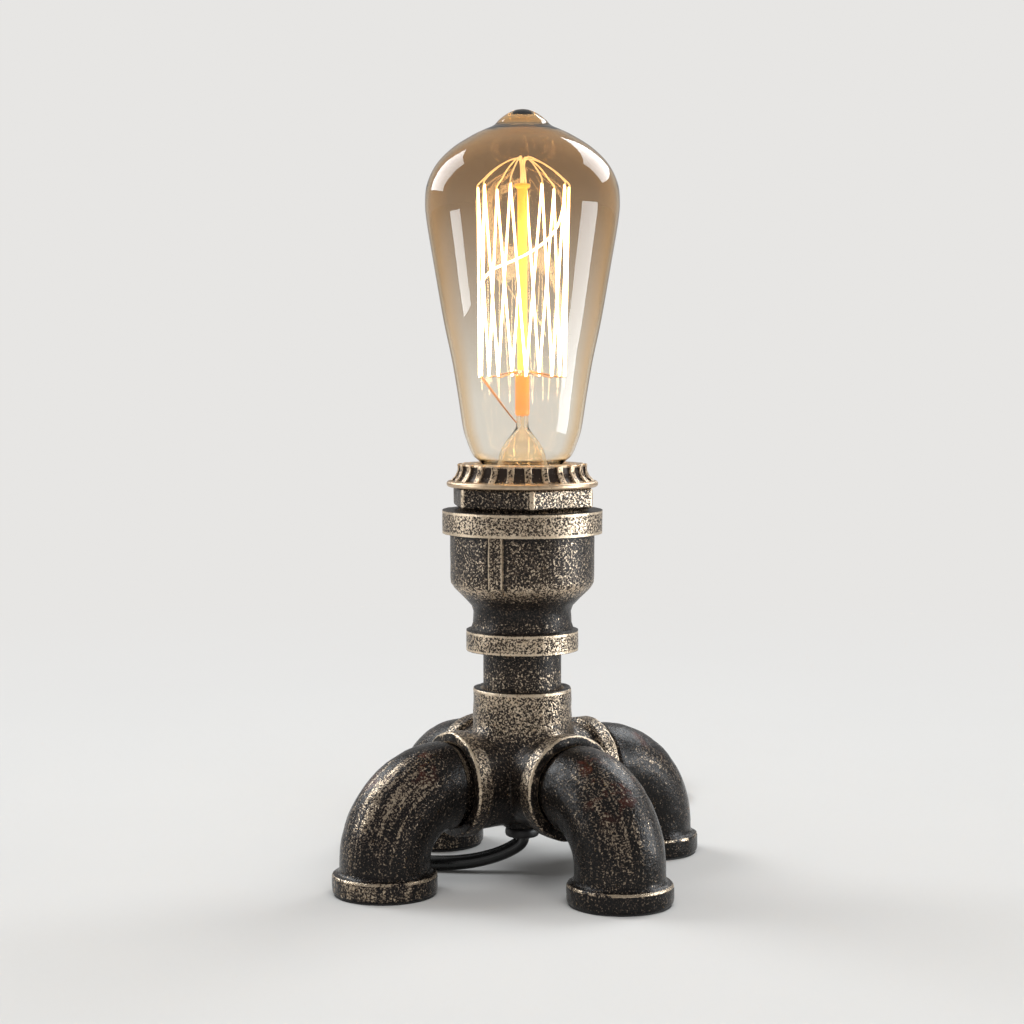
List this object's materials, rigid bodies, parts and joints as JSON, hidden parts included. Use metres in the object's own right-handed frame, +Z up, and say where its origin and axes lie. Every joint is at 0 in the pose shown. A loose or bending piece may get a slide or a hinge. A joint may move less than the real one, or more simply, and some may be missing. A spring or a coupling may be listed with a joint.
{
  "type": "pipe table lamp",
  "caption": "Industrial pipe table lamp: elbow legs on a side-outlet cross, reducing socket with hexagon bushing, lampholder with shade ring and a clear screw-cap filament bulb.",
  "frame": {"origin": "on the table, under the lamp's upright axis, midway between its feet", "axes": "+Z up along the stem and the bulb, -Y the front, +X to the lamp's right seen from the front; the legs point along the diagonals"},
  "size_m": [0.1311, 0.2419, 0.2534],
  "materials": {
    "cast_fitting": "black cast iron, dry-brushed with worn bronze-gold edges",
    "cast_elbow": "black cast iron with silvery rub marks and a little rust",
    "pipe_steel": "satin blackened pipe",
    "aged_bronze": "aged bronze, dark in the recesses",
    "moulded_black": "matt moulded black",
    "gloss_black": "polished moulded black",
    "porcelain": "white glaze",
    "brass_strip": "pressed brass strip",
    "nickel": "nickel plated",
    "amber_glass": "clear amber-tinted glass",
    "clear_glass": "clear drawn glass",
    "black_glass": "black vitrified glass",
    "glowing_carbon": "glowing filament wire",
    "black_rubber": "soft matt black rubber",
    "black_pvc": "smooth black sheath",
    "core_brown": "brown core insulation",
    "core_blue": "blue core insulation"
  },
  "bodies": {
    "lamp": {"side_outlet_cross": "cast_fitting", "reducing_socket": "cast_fitting", "hex_bushing": "cast_fitting", "stem_nipple": "pipe_steel", "holder_body": "moulded_black", "holder_insert": "porcelain", "screw_shell": "brass_strip", "centre_contact": "brass_strip", "terminal_blocks": "brass_strip", "terminal_screws": "nickel", "inner_cord": "black_pvc", "live_core": "core_brown", "neutral_core": "core_blue", "cord_grommet": "black_rubber", "cord_clamp": "moulded_black", "cord_lead": "black_pvc", "cord_link": "black_pvc", "cord_coil": "black_pvc", "cord_tail": "black_pvc", "switch_base": "moulded_black", "switch_cover": "moulded_black", "switch_terminals": "brass_strip", "switch_spring": "brass_strip", "switch_screws": "nickel", "coil_tie": "black_rubber", "plug_boot": "black_rubber", "plug_body": "gloss_black", "plug_pins": "nickel", "pin_sleeves": "gloss_black", "elbow_front_left": "cast_elbow", "foot_pad_front_left": "black_rubber", "elbow_front_right": "cast_elbow", "foot_pad_front_right": "black_rubber", "elbow_rear_left": "cast_elbow", "foot_pad_rear_left": "black_rubber", "elbow_rear_right": "cast_elbow", "foot_pad_rear_right": "black_rubber"},
    "bulb_carrier": {"cap_insulator": "black_glass", "cap_contact": "nickel"},
    "bulb": {"bulb_glass": "amber_glass", "bulb_cap": "nickel", "cap_cement": "porcelain", "glass_stem": "clear_glass", "stem_rod": "clear_glass", "filament": "glowing_carbon", "upper_hooks": "nickel", "lower_hooks": "nickel", "lead_wires": "nickel"},
    "ring": {"shade_ring": "aged_bronze"},
    "rocker": {"switch_rocker": "gloss_black"}
  },
  "joints": [
    {"name": "bulb_lift", "type": "slide", "parent": "lamp", "child": "bulb_carrier", "axis": [0, 0, 1], "range_m": [0, 0.0109]},
    {"name": "bulb_unscrew", "type": "hinge", "parent": "bulb_carrier", "child": "bulb", "pos_m": [0, 0, 0.1361], "axis": [0, 0, 1], "range_deg": [0, 1080]},
    {"name": "ring_turn", "type": "hinge", "parent": "lamp", "child": "ring", "pos_m": [0, 0, 0.1333], "axis": [0, 0, 1], "range_deg": [0, 40]},
    {"name": "rocker_tilt", "type": "hinge", "parent": "lamp", "child": "rocker", "pos_m": [-0.01256, 0.08971, 0.011], "axis": [0.3305, -0.9438, 0], "range_deg": [0, 16]}
  ],
  "couplings": [
    {"joint": "bulb_lift", "follows": "bulb_unscrew", "m_per_rad": 0.00057741}
  ]
}
